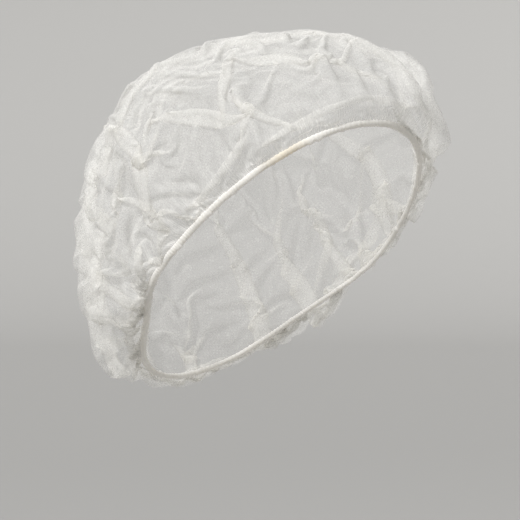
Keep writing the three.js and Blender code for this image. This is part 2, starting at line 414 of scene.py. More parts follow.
# The folds by how they hang: the angle and share of either end, the width and any bow.
FOLD_ROWS = {
    Hang.FLAT: (
        # The bands that run back from the brow over the wearer's right side.
        (78, 0.37, 57, 0.22, 6.5), (54, 0.52, 112, 0.30, 8.0, -0.12), (112, 0.32, 121, 0.10, 8.0),
        (59, 0.44, 31, 0.39, 2.4), (59, 0.42, 38, 0.32, 2.4), (60, 0.40, 47, 0.34, 2.4),
        (62, 0.35, 33, 0.16, 4.0, 0.08),
        # Those that run down to the hem there.
        (33, 0.23, 29, 0.01, 7.0), (52, 0.24, 49, 0.04, 4.5, 0.1), (61, 0.23, 59, 0.02, 4.5, -0.08),
        (69, 0.31, 80, 0.02, 6.5, 0.12), (79, 0.13, 66, 0.07, 3.5), (70, 0.11, 66, 0.03, 3.0),
        (89, 0.16, 95, 0.02, 3.0), (43, 0.18, 36, 0.01, 3.0), (34, 0.40, 30, 0.18, 3.0),
        # The forehead's.
        (28, 0.36, 356, 0.19, 5.0, 0.05), (27, 0.33, 19, 0.01, 2.6), (15, 0.14, 16, 0.04, 2.2, 0.15),
        (358, 0.17, 3, 0.01, 2.6), (350, 0.19, 355, 0.01, 3.4), (332, 0.38, 345, 0.06, 4.0, 0.08),
        (344, 0.14, 327, 0.06, 3.4),
    ),
    Hang.FREE: (
        # The pouch's.
        (124, 0.17, 114, 0.02, 3.4), (123, 0.17, 146, 0.07, 5.0, 0.1), (120, 0.16, 97, 0.10, 3.4),
        (120, 0.38, 124, 0.20, 5.0), (140, 0.30, 134, 0.05, 5.0, 0.15),
        (158, 0.42, 166, 0.08, 6.0, -0.1), (172, 0.30, 190, 0.05, 5.0, 0.1),
        (200, 0.45, 196, 0.10, 7.0, 0.1), (222, 0.35, 214, 0.04, 5.0),
        # The wearer's left side's and the crown's.
        (240, 0.50, 232, 0.12, 6.0, 0.12), (255, 0.22, 262, 0.03, 4.0),
        (272, 0.45, 280, 0.10, 6.0, -0.1), (296, 0.32, 290, 0.04, 5.0),
        (312, 0.44, 318, 0.10, 6.0, 0.1), (300, 0.20, 322, 0.12, 4.0), (180, 0.60, 230, 0.62, 6.0, 0.1),
        (100, 0.66, 60, 0.60, 5.0, 0.1), (280, 0.66, 330, 0.60, 6.0, -0.08),
        (150, 0.58, 110, 0.54, 5.0),
    ),
}
FOLDS = [Fold(hang, row[:2], row[2:4], *row[4:]) for hang, rows in FOLD_ROWS.items() for row in rows]


@dataclass(frozen=True)
class Pleats:
    """One size of the uneven leaning pleats that the gathers start as.

    Attributes:
        count: How many go round the hem.
        height: How far each stands out, in millimetres.
        seed: Picks how they wander.
        rise: The shares up from the hem between which they grow.
        fall: The shares between which they die away.
    """

    count: int
    height: float
    seed: int
    rise: tuple[float, float]
    fall: tuple[float, float]

    def phase(self, angle: Array, share: Array) -> Array:
        """The phase of the pleats' wave, whose crests wander as they climb.

        Args:
            angle: The worn angle of each place.
            share: Its share up from the hem.

        Returns:
            The phase at each place, in radians.
        """
        chance = np.random.default_rng(self.seed)
        phase = self.count * angle
        for waves in range(2, 14):
            size = chance.normal() * 0.9 / math.sqrt(waves)
            turn = chance.uniform(0, TURN) + share * chance.normal() * 3.0
            phase = phase + size * np.cos(waves * angle + turn)
        return phase

    def fade(self, share: Array) -> Array:
        """How strong the pleats are at each share up from the hem, from 0 to 1."""
        return smooth_step(share, *self.rise) * (1 - smooth_step(share, *self.fall))


PLEATS = (
    Pleats(96, 1.2, 1, (0.0, 0.02), (0.06, 0.2)),
    Pleats(44, 1.4, 2, (0.03, 0.12), (0.35, 0.7)),
    Pleats(21, 1.4, 3, (0.12, 0.3), (0.8, 1.0)),
)


@dataclass
class Relaxation:
    """How the gathered round is let settle.

    Attributes:
        rounds: How many times every thread pulls.
        stretch: The share of a stretch that a pull takes back.
        squeeze: The share of a squeeze that it takes back.
        bend: The same over one neighbour, which keeps the sheet from kinking.
        shear: How hard the diagonals pull, as a share of the threads.
        anchor: How much of its way back to where it started a point goes each time.
        damping: The share of its drift that a point keeps.
        weight: How far a point sinks each time, in metres.
    """

    rounds: int = 160
    stretch: float = 1.0
    squeeze: float = 0.6
    bend: float = 0.3
    shear: float = 0.5
    anchor: float = 0.003
    damping: float = 0.9
    weight: float = 0.008 * MM


@dataclass
class Room:
    """Where the sheet may go round the puff's outer form, in metres.

    Attributes:
        form: The smooth outer form.
        near: How deep the sheet may sink below it everywhere.
        back: How much deeper it may sink in the pouch.
        left: How much deeper on the wearer's left.
        proud: How far it may stand outside the form.
        swell: How much further out its puffs stand where it hangs free.
        puffs: How deep the dents between those puffs are.
    """

    LUMPS = 10  # how many waves add up to the puffs
    LUMPS_ROUND = (4, 19)  # the fewest that go round, and one more than the most
    LUMPS_UP = (4.0, 16.0)  # how far they turn on the way up, in radians
    DENT_EDGE = 1.6  # the waves' height where a dent ends

    form: WornForm
    near: float = 2.0 * MM
    back: float = 24.0 * MM
    left: float = 15.0 * MM
    proud: float = 2.0 * MM
    swell: float = 5.0 * MM
    puffs: float = 8.0 * MM

    def depth(self, angle: Array, share: Array) -> Array:
        """How deep the sheet may sink at each place.

        Args:
            angle: The angle round the opening.
            share: The share up from the hem.

        Returns:
            The room under the outer form.
        """
        # Deepest low down, less towards the crown; the pouch lies behind, the puff at the left.
        level = np.clip(1.25 - 1.1 * share, 0.0, 1.0) * smooth_step(share, 0.0, 0.16)
        behind = np.clip((-np.cos(angle) + 0.25) / 1.1, 0.0, 1.0)
        beside = np.clip(-1.1 * np.sin(angle) - 0.1, 0.0, 1.0)
        return self.near + level * (self.back * behind + self.left * beside)

    def puff(self, angle: Array, share: Array) -> Array:
        """How far outside the form the free parts of the sheet puff out.

        Args:
            angle: The angle round the opening.
            share: The share up from the hem.

        Returns:
            The distance at each place, which is below zero in a deep dent.
        """
        chance = np.random.default_rng(23)
        lumps = np.zeros_like(angle)
        for _ in range(self.LUMPS):
            across, up = chance.integers(*self.LUMPS_ROUND), chance.uniform(*self.LUMPS_UP)
            wave = np.cos(across * angle + up * share + chance.uniform(0, TURN))
            lumps += wave / math.sqrt(self.LUMPS / 2)
        dents = 1 - np.minimum(np.abs(lumps), self.DENT_EDGE) / self.DENT_EDGE
        free = smooth_step(-np.sin(angle) - 0.25 * np.cos(angle), -0.5, 0.4)
        return free * smooth_step(share, 0.01, 0.08) * (self.swell - self.puffs * dents)

    def outer(self, angle: Array, share: Array) -> Array:
        """How far outside the form the sheet may stand, which is nothing where it leaves the hem."""
        return self.proud * smooth_step(share, 0.0, 0.06) + self.puff(angle, share)


@dataclass(frozen=True)
class Gather:
    """How the flat round is shared out along the elastic.

    Attributes:
        radius: The flat radius of the round, without the part in the hem, in metres.
        pressed: The share of its width that shows at the hem, beside the tight pleats there.
        pressed_to: The share of the way up where those pleats have opened out.
        thin: How much less cloth than its even share the smooth side has.
        smooth_side: The angle of that side, in degrees.
        soft_crown: How much less a squeeze is resisted at the crown, where the cloth lies loose.
        slack_low: How much of the slack up the sheet lies low down instead of at the crown.
    """

    radius: float
    pressed: float = 0.5
    pressed_to: float = 0.3
    thin: float = 0.15
    smooth_side: float = 50.0
    soft_crown: float = 0.8
    slack_low: float = 0.22

    def worn_angle(self, flat: Array) -> Array:
        """The angle on the elastic to which each angle of the flat round is gathered."""
        return flat + self.thin * np.sin(flat - math.radians(self.smooth_side))

    def worn_share(self, flat: Array, angle: Array) -> Array:
        """Where up the worn sheet each place of the flat radius lies.

        Args:
            flat: The share of the flat radius, from the edge.
            angle: The worn angle.

        Returns:
            The share up from the hem.
        """
        slack = self.slack_low * (1 - 0.9 * self.smoothness(angle))
        return flat * (1 - slack * (1 - flat))

    def smoothness(self, angle: Array) -> Array:
        """How much each worn angle belongs to the smooth side, from 0 to 1."""
        return smooth_step(np.cos(angle - math.radians(self.smooth_side)), -0.4, 0.3)

    def opened(self, share: Array) -> Array:
        """The share of the flat width that shows, at each share up from the hem."""
        return self.pressed + (1 - self.pressed) * smooth_step(share, -0.02, self.pressed_to)


class ClothGrid:
    """A round of cloth as columns of points from its edge to its middle, with flat lengths."""

    def __init__(self, points: Array, gather: Gather) -> None:
        """Takes the points.

        Args:
            points: The worn places, by column and by row up from the hem.
            gather: How the flat round is shared out along the elastic.
        """
        self.points = points
        self.gather = gather
        self.columns, self.rows = points.shape[0], points.shape[1] - 1
        angle = gather.worn_angle(TURN * np.arange(self.columns) / self.columns)
        share = np.arange(self.rows + 1) / self.rows
        self.angle, self.share = np.meshgrid(angle, share, indexing="ij")
        step = TURN / self.columns
        flat = gather.radius * (1 - share)
        opened = gather.opened(share)
        self.around = 2 * flat * math.sin(step / 2) * opened
        self.up = np.abs(np.diff(flat))
        self.firm = 1 - gather.soft_crown * smooth_step(share, 0.3, 0.65)
        self.across = np.hypot(0.5 * (self.around[:-1] + self.around[1:]), self.up)

    def outward(self) -> Array:
        """The outward normal at each point."""
        round_way = np.roll(self.points, -1, 0) - np.roll(self.points, 1, 0)
        return unit(np.cross(np.gradient(self.points, axis=1), round_way))

    def settle(self, rule: Relaxation, room: Room) -> None:
        """Lets the threads pull to their flat lengths.

        Args:
            rule: How they pull.
            room: Where the sheet may go.
        """
        start, drift = self.points.copy(), np.zeros_like(self.points)
        free = smooth_step(self.share, 0.0, 0.012)[..., None]
        outer = room.outer(self.angle, self.share)
        inner = np.maximum(room.depth(self.angle, self.share), 0.5 * MM - outer)
        fall = np.array([0.0, 0.0, -rule.weight])
        pulls = self._pulls(rule)
        for _ in range(rule.rounds):
            before = self.points.copy()
            self.points += (drift + fall) * free
            for pull in pulls:
                self._pull(*pull)
            self.points += (start - self.points) * rule.anchor
            kept = room.form.kept(self.points, inner, outer)
            self.points = before + (kept - before) * free
            self.points[:, -1] = self.points[:, -1].mean(axis=0)
            drift = (self.points - before) * rule.damping

    def _pulls(self, rule: Relaxation) -> list[tuple]:
        """Lists what each set of threads pulls together, in the order in which they pull.

        Args:
            rule: How they pull.

        Returns:
            For each set, what _pull takes.
        """
        every, whole = np.arange(self.columns), slice(None)
        threads = (rule.stretch, rule.squeeze * self.firm)
        bends = (0.0, np.full_like(self.firm, rule.bend))
        straight, across, bent = [], [], []
        for found, reach, around, up, taken in (
                (straight, 1, self.around, self.up, threads),
                (bent, 2, 2 * self.around, self.up[:-1] + self.up[1:], bends)):
            for part in range(2):
                first = every[every // reach % 2 == part]
                found.append((first, (first + reach) % self.columns, around, *taken))
            rows = np.arange(self.rows + 1 - reach)
            for part in range(2):
                first = rows[rows // reach % 2 == part]
                found.append(((whole, first), (whole, first + reach), up[first], taken[0],
                              taken[1][first]))
        lower, upper = slice(None, -1), slice(1, None)
        for low, high in ((lower, upper), (upper, lower)):
            for part in range(2):
                first = every[every % 2 == part]
                across.append(((first, low), ((first + 1) % self.columns, high), self.across,
                               rule.shear * threads[0], rule.shear * threads[1][1:]))
        return straight + across + bent

    def _pull(self, first: object, second: object, rest: Array, longer: float,
              shorter: Array) -> None:
        """Moves points and their partners, as far each, towards their flat distance.

        Args:
            first: Where in the grid the points are.
            second: Where their partners are.
            rest: Their flat distance.
            longer: The share of a stretch that is taken back.
            shorter: The share of a squeeze that is.
        """
        away = self.points[second] - self.points[first]
        length = np.linalg.norm(away, axis=-1) + 1e-9
        strength = np.where(length > rest, longer, shorter)
        move = away * (0.5 * strength * (length - rest) / length)[..., None]
        self.points[first] += move
        self.points[second] -= move

    def refined(self) -> "ClothGrid":
        """Puts a new point halfway between each two, on a smooth curve.

        Returns:
            The same round with twice the columns and rows.
        """
        here = self.points
        right = np.roll(here, -1, 0)
        middle = (9 * (here + right) - (np.roll(here, 1, 0) + np.roll(here, -2, 0))) / 16
        wide = np.empty((2 * self.columns, self.rows + 1, 3))
        wide[0::2], wide[1::2] = here, middle
        below = np.concatenate([2 * wide[:, :1] - wide[:, 1:2], wide[:, :-2]], axis=1)
        beyond = np.concatenate([wide[:, 2:], 2 * wide[:, -1:] - wide[:, -2:-1]], axis=1)
        middle = (9 * (wide[:, :-1] + wide[:, 1:]) - (below + beyond)) / 16
        tall = np.empty((2 * self.columns, 2 * self.rows + 1, 3))
        tall[:, 0::2], tall[:, 1::2] = wide, middle
        return ClothGrid(tall, self.gather)


@dataclass
class CrownSheet:
    """The round cut of sheer nonwoven, gathered into the worn form.

    Attributes:
        form: The smooth worn form that it takes.
        cut: The diameter of the flat round, in metres.
        hem_take: How much of its radius the folded hem takes up.
        columns: Columns of the coarse grid that settles first.
        rows: Its rows, from hem to middle.
        lean: How far the pleats lean over, as a multiple of their slope.
        quiet: How strong they are on the smooth side, where the folds take the slack.
        noise: How uneven the cloth is before it settles.
        coarse: How the coarse grid settles.
        fine: How the fine one does.
    """

    form: WornForm
    cut: float = 0.53
    hem_take: float = 12.0 * MM
    columns: int = 240
    rows: int = 100
    lean: float = 3.0
    quiet: float = 0.12
    noise: float = 0.5 * MM
    coarse: Relaxation = field(default_factory=Relaxation)
    fine: Relaxation = field(default_factory=lambda: Relaxation(rounds=40, bend=0.2))

    def build(self) -> Object:
        """Makes the sheet.

        Returns:
            The finished piece.
        """
        room = Room(self.form)
        grid = self._gathered(room)
        grid.settle(self.coarse, room)
        grid = grid.refined()
        grid.settle(self.fine, room)
        return self._piece(grid.points)

    def _gathered(self, room: Room) -> ClothGrid:
        """Lays the sheet on the worn form, with its gathers started as leaning pleats and folds.

        Args:
            room: Where the sheet may go.

        Returns:
            The sheet, ready to settle.
        """
        gather = Gather(self.cut / 2 - self.hem_take)
        angle = gather.worn_angle(TURN * np.arange(self.columns) / self.columns)
        share = np.arange(self.rows + 1) / self.rows
        angle, share = np.meshgrid(angle, share, indexing="ij")
        points = self.form.point(angle, gather.worn_share(share, angle))
        grid = ClothGrid(points, gather)
        outward = grid.outward()
        sideways = unit(np.roll(points, -1, 0) - np.roll(points, 1, 0))
        worn = np.linalg.norm(np.roll(points, -1, 0) - points, axis=-1).sum(axis=0)
        lift, slide = np.zeros_like(share), np.zeros_like(share)
        for pleats in PLEATS:
            wave = pleats.fade(share) * np.cos(pleats.phase(angle, share))
            lift += pleats.height * MM * wave
            slide += self.lean * worn / (TURN * pleats.count) * wave
        calm = 1 - (1 - self.quiet) * gather.smoothness(angle)
        lift, slide = lift * calm, slide * calm
        chance = np.random.default_rng(7)
        lift += self.noise * calm * chance.normal(size=lift.shape) * smooth_step(share, 0.0, 0.02)
        lift += room.puff(angle, share)
        lift[:, -1] = lift[:, -1].mean()
        slide[:, -3:] = 0.0
        grid.points = points + outward * lift[..., None] + sideways * slide[..., None]
        for fold in FOLDS:
            grid.points += fold.shift(points.reshape(-1, 3), self.form).reshape(points.shape)
        return grid

    def _piece(self, points: Array) -> Object:
        """Makes the mesh of a grid that closes in a point at the middle.

        Args:
            points: The grid.

        Returns:
            The new object.
        """
        columns, rows = points.shape[0], points.shape[1] - 1
        places = np.concatenate([points[:, :-1].reshape(-1, 3), points[:1, -1]])
        column, row = self._corners(columns, rows)
        index = np.where(row < rows, np.floor(column) % columns * rows + row, len(places) - 1)
        split = 4 * columns * (rows - 1)
        squares = index[:split].reshape(-1, 4).astype(int).tolist()
        fan = index[split:].reshape(-1, 3).astype(int).tolist()
        piece = add_piece("sheer_crown", places, squares + fan)
        mesh = piece.data
        mesh.polygons.foreach_set("use_smooth", self._rounded(mesh))
        turn = TURN * column / columns
        radius = (0.5 - self.hem_take / self.cut) * (1 - row / rows)
        flat = np.stack([0.5 + radius * np.cos(turn), 0.5 + radius * np.sin(turn)], axis=-1)
        mesh.uv_layers.new(name="flat_cut").uv.foreach_set("vector", flat.ravel())
        way = np.stack([column / columns, row / rows], axis=-1)
        mesh.uv_layers.new(name="from_hem").uv.foreach_set("vector", way.ravel())
        self._mark_creases(mesh, points)
        return piece

    @staticmethod
    def _corners(columns: int, rows: int) -> tuple[Array, Array]:
        """Lists the corners of the squares, then of the fan at the middle.

        Args:
            columns: How many columns the grid has.
            rows: How many rows of squares and fan together.

        Returns:
            The column and the row of each corner, the column not wrapped round.
        """
        column, row = np.meshgrid(np.arange(columns), np.arange(rows - 1), indexing="ij")
        square_columns = np.stack([column, column, column + 1, column + 1], axis=-1).ravel()
        square_rows = np.stack([row, row + 1, row + 1, row], axis=-1).ravel()
        side = np.arange(columns)
        fan_columns = np.stack([side + 1, side, side + 0.5], axis=-1).ravel()
        fan_rows = np.tile([rows - 1, rows - 1, rows], columns)
        return np.append(square_columns, fan_columns), np.append(square_rows, fan_rows)

    @staticmethod
    def _rounded(mesh: Mesh, least: float = 0.6) -> Array:
        """Finds the faces to shade smooth: not the sharpest folds, whose normals would go black.

        Args:
            mesh: The sheet's mesh.
            least: The least cosine between a face and the normals of its points.

        Returns:
            Whether each face is smooth.
        """
        faces = np.array([face.vector for face in mesh.polygon_normals])
        points = np.array([point.vector for point in mesh.vertex_normals])
        starts = np.array([face.loop_start for face in mesh.polygons])
        totals = np.array([face.loop_total for face in mesh.polygons])
        corners = np.array([corner.vertex_index for corner in mesh.loops])
        facing = (np.repeat(faces, totals, axis=0) * points[corners]).sum(axis=-1)
        return np.minimum.reduceat(facing, starts) > least

    @staticmethod
    def _mark_creases(mesh: Mesh, points: Array) -> None:
        """Gives the mesh a point attribute, "crease", from 0 where flat to 1 on sharp folds.

        Args:
            mesh: The sheet's mesh.
            points: Its points by column and row.
        """
        round_mean = 0.5 * (np.roll(points, 1, 0) + np.roll(points, -1, 0))
        up_mean = points.copy()
        up_mean[:, 1:-1] = 0.5 * (points[:, :-2] + points[:, 2:])
        step = np.linalg.norm(np.roll(points, -1, 0) - points, axis=-1) + 0.4 * MM
        round_bend = np.linalg.norm(points - round_mean, axis=-1)
        up_bend = np.linalg.norm(points - up_mean, axis=-1)
        crease = smoothed(smooth_step((round_bend + up_bend) / step, 0.15, 0.75))
        values = np.append(crease[:, :-1].ravel(), crease[0, -1])
        layer = mesh.attributes.new("crease", "FLOAT", "POINT")
        layer.data.foreach_set("value", values.astype(np.float32))

    def dress(self, piece: Object, finish: "SpunBond", hem: Object) -> None:
        """Gives the sheet its finish, hides the imported sheet that it stands for, and hangs it from the
        root.

        Args:
            piece: The sheet.
            finish: Its finish.
            hem: The roll that holds its edge; not used.
        """
        piece.data.materials.append(finish.material())
        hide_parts("crown_sheet")
        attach(piece, "root")


@dataclass
class HemCasing:
    """The sheet's folded edge, a narrow gathered roll all round the elastic.

    Attributes:
        hem: The middle line of the elastic.
        form: The worn form, which the roll's width points up into.
        height: The roll's width up the sheet, in metres.
        depth: Its thickness through the sheet.
        columns: How many sections it has round the loop.
        corners: How many corners each section has.
        gathers: How many small gathers go round it.
        gather_depth: How deep they are, as a share of the roll's width, like the two below.
        fine_depth: How deep the finer ones between them are.
        rough: How uneven the roll is.
        tufts: How many stray tufts stand out of it.
        radius: The loop's radius, for the tufts' width.
    """

    TUFT_WIDTH = (0.5, 1.1)  # in millimetres
    TUFT_FACING = (1.6, 4.6)  # the turns round the section that they face, in radians
    TUFT_HEIGHT = (0.5, 2.0)  # as a share of how rough the roll is
    TUFT_POINT = 6  # how narrow they are round the section

    hem: HemLine
    form: WornForm
    height: float = 3.7 * MM
    depth: float = 2.6 * MM
    columns: int = 1440
    corners: int = 20
    gathers: int = 270
    gather_depth: float = 0.07
    fine_depth: float = 0.04
    rough: float = 0.22
    tufts: int = 90
    radius: float = 94.0 * MM

    def build(self) -> Object:
        """Makes the roll.

        Returns:
            The finished piece.
        """
        angle = TURN * np.arange(self.columns) / self.columns
        middle = self.hem.centre(angle)
        along = unit(np.roll(middle, -1, 0) - np.roll(middle, 1, 0))
        up = self.form.point(angle, np.full(self.columns, 0.03)) - middle
        up = unit(up - (up * along).sum(1)[:, None] * along)
        out = np.cross(along, up)
        turn = TURN * np.arange(self.corners) / self.corners
        angle, turn = np.meshgrid(angle, turn, indexing="ij")
        swell = self._swell(angle, turn)
        high = 0.5 * self.height * np.cos(turn) * swell
        far = 0.5 * self.depth * np.sin(turn) * swell
        return self._piece(middle[:, None] + up[:, None] * high[..., None] + out[:, None] * far[..., None])

    def _swell(self, angle: Array, turn: Array) -> Array:
        """How far each point of the roll stands out, with its gathers and tufts.

        Args:
            angle: The angle round the opening.
            turn: The angle round the section.

        Returns:
            The share of the plain section's size.
        """
        chance = np.random.default_rng(11)
        phase = self.gathers * angle + 0.9 * np.sin(turn + 3 * angle)
        uneven = np.zeros_like(angle)
        for waves in range(3, 40):
            size = chance.normal() / math.sqrt(waves)
            phase = phase + 2.2 * size * np.cos(waves * angle + chance.uniform(0, TURN))
            wave = np.cos(waves * angle + chance.uniform(0, TURN) + turn)
            uneven = uneven + 0.05 * chance.normal() * wave
        fine = np.cos(2 * phase + 1.7 * np.sin(2 * turn) + 5 * np.sin(17 * angle))
        for _ in range(self.tufts):
            away = (angle - chance.uniform(0, TURN) + math.pi) % TURN - math.pi
            width = chance.uniform(*self.TUFT_WIDTH) * MM / self.radius
            facing = np.maximum(np.cos(turn - chance.uniform(*self.TUFT_FACING)), 0.0) ** self.TUFT_POINT
            height = chance.uniform(*self.TUFT_HEIGHT)
            uneven = uneven + height * np.exp(-(away / width) ** 2) * facing
        return 1 + self.gather_depth * np.cos(phase) + self.fine_depth * fine + self.rough * uneven

    @staticmethod
    def _piece(points: Array) -> Object:
        """Makes the mesh of a closed roll.

        Args:
            points: Its points by section and corner.

        Returns:
            The new object.
        """
        columns, corners = points.shape[:2]
        column, corner = np.meshgrid(np.arange(columns), np.arange(corners), indexing="ij")
        here, there = column * corners, (column + 1) % columns * corners
        after = (corner + 1) % corners
        quads = np.stack([here + corner, here + after, there + after, there + corner], axis=-1)
        return add_piece("gathered_hem", points.reshape(-1, 3), quads.reshape(-1, 4).tolist())

    @staticmethod
    def dress(piece: Object, finish: "FoldedHem") -> None:
        """Gives the hem its finish, hides the imported casing that it stands for, and hangs it from the
        root.

        Args:
            piece: The roll.
            finish: Its finish.
        """
        piece.data.materials.append(finish.material())
        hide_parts("hem_casing")
        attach(piece, "root")


@dataclass
class ElasticBand:
    """The elastic cord in the hem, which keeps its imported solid.

    Attributes:
        node_name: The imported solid's name.
    """

    node_name: str = "elastic_band"

    def build(self) -> Object:
        """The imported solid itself, which needs no other shape."""
        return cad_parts[self.node_name]

    @staticmethod
    def dress(piece: Object, finish: "ElasticYarn") -> None:
        """Gives the cord its finish.

        Args:
            piece: The cord.
            finish: Its finish.
        """
        piece.data.materials.clear()
        piece.data.materials.append(finish.material())


def linear(code: str) -> tuple[float, float, float, float]:
    """Turns a colour into what a shader socket takes.

    Args:
        code: Its sRGB hex code.

    Returns:
        Its linear red, green and blue, and 1.
    """
    parts = [int(code[i:i + 2], 16) / 255 for i in (0, 2, 4)]
    red, green, blue = (p / 12.92 if p <= 0.04045 else ((p + 0.055) / 1.055) ** 2.4 for p in parts)
    return red, green, blue, 1.0


def node(tree: NodeTree, kind: str, links: dict | None = None, out: int | str = 0,
         **settings: object) -> NodeSocket | None:
    """Adds a node.

    Args:
        tree: The node tree that it goes into.
        kind: Its Blender type, without the leading ShaderNode.
        links: What feeds its inputs, by input name or number: an output socket, or a value.
        out: Which of its outputs is wanted.
        settings: Its own settings by name.

    Returns:
        That output, or nothing for the tree's last node.
    """
    made = tree.nodes.new("ShaderNode" + kind)
    for name, value in settings.items():
        setattr(made, name, value)
    for name, value in (links or {}).items():
        if isinstance(value, NodeSocket):
            tree.links.new(value, made.inputs[name])
        else:
            made.inputs[name].default_value = value
    return made.outputs[out] if made.outputs else None


def blank(name: str) -> tuple[Material, NodeTree]:
    """Makes a material without nodes.

    Args:
        name: Its name.

    Returns:
        The material and its empty node tree.
    """
    made = bpy.data.materials.new(name)
    made.use_nodes = True
    made.node_tree.nodes.clear()
    return made, made.node_tree


def sheer(tree: NodeTree, colour: object, normal: NodeSocket, glow: float,
          solid: NodeSocket) -> None:
    """Finishes a tree as thin cloth, which scatters light to both sides and lets some through.

    Args:
        tree: The material's node tree.
        colour: The fibres' colour, as a value or a socket.
        normal: Their relief.
        glow: The share of the scattered light that comes out behind.
        solid: The share of light that the fibres stop.
    """
    lit = node(tree, "BsdfDiffuse", {"Color": colour, "Normal": normal})
    through = node(tree, "BsdfTranslucent", {"Color": colour, "Normal": normal})
    cloth = node(tree, "MixShader", {0: glow, 1: lit, 2: through})
    clear = node(tree, "BsdfTransparent")
    whole = node(tree, "MixShader", {0: solid, 1: clear, 2: cloth})
    node(tree, "OutputMaterial", {"Surface": whole})


@dataclass(frozen=True)
class SpunBond:
    """Spun-bonded polypropylene: melted fibres laid at random and pressed together at small points.

    Attributes:
        cut: The diameter of the flat round in metres, which the flat map spans.
        name: The material's name.
        colour: The fibres' colour.
        opacity: The share of light that one layer stops.
        cloud: How much that varies from place to place.
        crease: How much more a sharp fold stops.
        gathers: How much more and less the streaks by the hem stop.
        bond: How much more a bond point stops.
        glow: The share of scattered light that comes out behind.
        cloud_size: The size of the web's clouds, in metres.
        fibre_size: That of its fibres' tangle.
        bond_pitch: How far apart its bond points are.
        gather_pitch: How much of the flat edge goes into one streak.
        gather_length: How long the streaks are.
    """

    cut: float
    name: str = "spunbond_polypropylene_12gsm"
    colour: str = "F4F3F0"
    opacity: float = 0.27
    cloud: float = 0.1
    crease: float = 0.5
    gathers: float = 0.5
    bond: float = 0.08
    glow: float = 0.42
    cloud_size: float = 7.0 * MM
    fibre_size: float = 1.6 * MM
    bond_pitch: float = 1.9 * MM
    gather_pitch: float = 4.2 * MM
    gather_length: float = 60.0 * MM

    def _gathers(self, tree: NodeTree) -> NodeSocket:
        """Adds fine streaks up from the hem, where the cloth is drawn together.

        Args:
            tree: The material's node tree.

        Returns:
            The streaks, which fade as the cloth opens out.
        """
        way = node(tree, "UVMap", uv_map="from_hem")
        cells = (math.pi * self.cut / self.gather_pitch, 0.5 * self.cut / self.gather_length, 1.0)
        drawn = node(tree, "VectorMath", {0: way, 1: cells}, operation="MULTIPLY")
        streaks = node(tree, "TexNoise", {"Vector": drawn, "Scale": 1.0, "Detail": 3.0, "Roughness": 0.7})
        up = node(tree, "SeparateXYZ", {"Vector": way}, "Y")
        fade = node(tree, "MapRange", {"Value": up, "From Max": 0.17, "To Min": 1.0, "To Max": 0.0})
        fade = node(tree, "Math", {0: fade, 1: 1.5}, operation="POWER")
        sharp = node(tree, "MapRange", {"Value": streaks, "From Min": 0.35, "From Max": 0.7,
                                        "To Min": -0.5})
        return node(tree, "Math", {0: sharp, 1: fade}, operation="MULTIPLY")

    def material(self) -> Material:
        """Makes the material.

        Returns:
            The new material.
        """
        made, tree = blank(self.name)
        flat = node(tree, "UVMap", uv_map="flat_cut")
        # The cloudy web of fibres, thicker here and thinner there.
        cloud = node(tree, "TexNoise", {"Vector": flat, "Scale": self.cut / self.cloud_size,
                                        "Detail": 4.0, "Roughness": 0.6})
        fibres = node(tree, "TexNoise", {"Vector": flat, "Scale": self.cut / self.fibre_size,
                                         "Detail": 2.0, "Distortion": 1.5})
        web = node(tree, "Math", {0: cloud, 1: fibres}, operation="ADD")
        web = node(tree, "MapRange", {"Value": web, "From Min": 0.7, "From Max": 1.3,
                                      "To Min": -self.cloud, "To Max": self.cloud})
        # A thin brighter line along each folded edge, where the layers press together.
        crease = node(tree, "Attribute", out="Fac", attribute_name="crease")
        more = node(tree, "Math", {0: crease, 1: self.crease, 2: web}, operation="MULTIPLY_ADD")
        gathers = self._gathers(tree)
        more = node(tree, "Math", {0: gathers, 1: self.gathers, 2: more}, operation="MULTIPLY_ADD")
        # A faint even dotting of bond points, denser than the web between them.
        dots = node(tree, "TexVoronoi", {"Vector": flat, "Scale": self.cut / self.bond_pitch,
                                         "Randomness": 0.25})
        bonds = node(tree, "MapRange", {"Value": dots, "From Min": 0.1, "From Max": 0.35,
                                        "To Min": self.bond, "To Max": 0.0})
        more = node(tree, "Math", {0: more, 1: bonds}, operation="ADD")
        solid = node(tree, "Math", {0: more, 1: self.opacity}, operation="ADD", use_clamp=True)
        relief = node(tree, "Math", {0: fibres, 1: dots}, operation="ADD")
        relief = node(tree, "Math", {0: gathers, 1: 3.0, 2: relief}, operation="MULTIPLY_ADD")
        normal = node(tree, "Bump", {"Height": relief, "Strength": 0.35, "Distance": 0.15 * MM})
        sheer(tree, linear(self.colour), normal, self.glow, solid)
        return made


